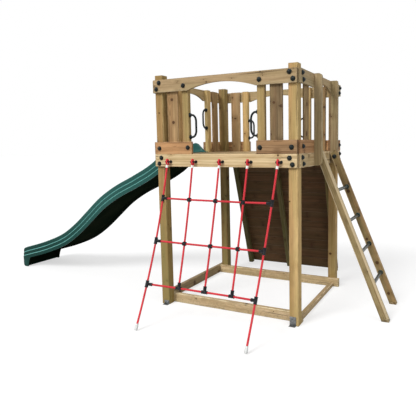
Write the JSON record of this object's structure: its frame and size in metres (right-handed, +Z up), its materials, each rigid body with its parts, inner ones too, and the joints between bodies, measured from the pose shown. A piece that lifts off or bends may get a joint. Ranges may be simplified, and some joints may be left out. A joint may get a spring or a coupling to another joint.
{
  "type": "garden climbing tower with slide",
  "caption": "Wooden climbing tower with a railed platform, wavy moulded slide, rung ladder, rope cargo net and sloping boarded climbing wall.",
  "frame": {"origin": "centre of the foot of the front left corner post, on the ground", "axes": "+Z up; +X along the net side from the slide towards the ladder; +Y from the net side towards the climbing wall"},
  "size_m": [4.7428, 2.4909, 2.25],
  "materials": {
    "post_timber": "planed, pressure treated",
    "beam_timber": "planed, pressure treated",
    "rail_timber": "planed, pressure treated",
    "kick_timber": "planed, pressure treated",
    "infill_timber": "planed, pressure treated",
    "deck_timber": "planed, weathered",
    "wall_timber": "planed, dark",
    "ladder_timber": "planed, pressure treated",
    "slide_plastic": "satin moulded",
    "rung_plastic": "satin",
    "handle_plastic": "satin moulded",
    "net_rope": "laid rope"
  },
  "bodies": {
    "tower": {"post_front_left": "post_timber", "post_front_right": "post_timber", "post_back_left": "post_timber", "post_back_right": "post_timber", "ground_rail_front": "rail_timber", "ground_rail_back": "rail_timber", "ground_rail_left": "rail_timber", "ground_rail_right": "rail_timber", "floor_beam_front": "beam_timber", "floor_beam_back": "beam_timber", "floor_beam_left": "beam_timber", "floor_beam_right": "beam_timber", "top_rail_front": "rail_timber", "top_rail_back": "rail_timber", "top_rail_left": "rail_timber", "top_rail_right": "rail_timber", "kick_board_front_left": "kick_timber", "kick_board_front_right": "kick_timber", "kick_board_back_left": "kick_timber", "kick_board_back_right": "kick_timber", "kick_board_slide_front": "kick_timber", "kick_board_slide_back": "kick_timber", "kick_board_ladder_front": "kick_timber", "kick_board_ladder_back": "kick_timber", "upright_front_left": "post_timber", "upright_front_right": "post_timber", "upright_back_left": "post_timber", "upright_back_right": "post_timber", "upright_slide_front": "post_timber", "upright_slide_back": "post_timber", "entry_board_front": "rail_timber", "entry_board_back": "rail_timber", "infill_board_front_left": "infill_timber", "infill_board_front_right": "infill_timber", "infill_board_back_left": "infill_timber", "infill_board_back_right": "infill_timber", "infill_board_slide_front": "infill_timber", "infill_board_slide_back": "infill_timber", "infill_board_ladder_front": "infill_timber", "infill_board_ladder_back": "infill_timber", "deck": "deck_timber", "slide": "slide_plastic", "ladder_rail_front": "ladder_timber", "ladder_rail_back": "ladder_timber", "rung_1": "rung_plastic", "rung_2": "rung_plastic", "rung_3": "rung_plastic", "rung_4": "rung_plastic", "wall_stringer_left": "wall_timber", "wall_stringer_middle": "wall_timber", "wall_stringer_right": "wall_timber", "climbing_panel": "wall_timber", "handle_front_left": "handle_plastic", "handle_front_right": "handle_plastic", "handle_back_left": "handle_plastic", "handle_back_right": "handle_plastic", "handle_slide_front": "handle_plastic", "handle_slide_back": "handle_plastic"},
    "net": {"cargo_net": "net_rope"}
  },
  "joints": [
    {"name": "net_swing", "type": "hinge", "parent": "tower", "child": "net", "pos_m": [0.6825, -0.0995, 1.43], "axis": [-1, 0, 0], "range_deg": [0, 60]}
  ]
}
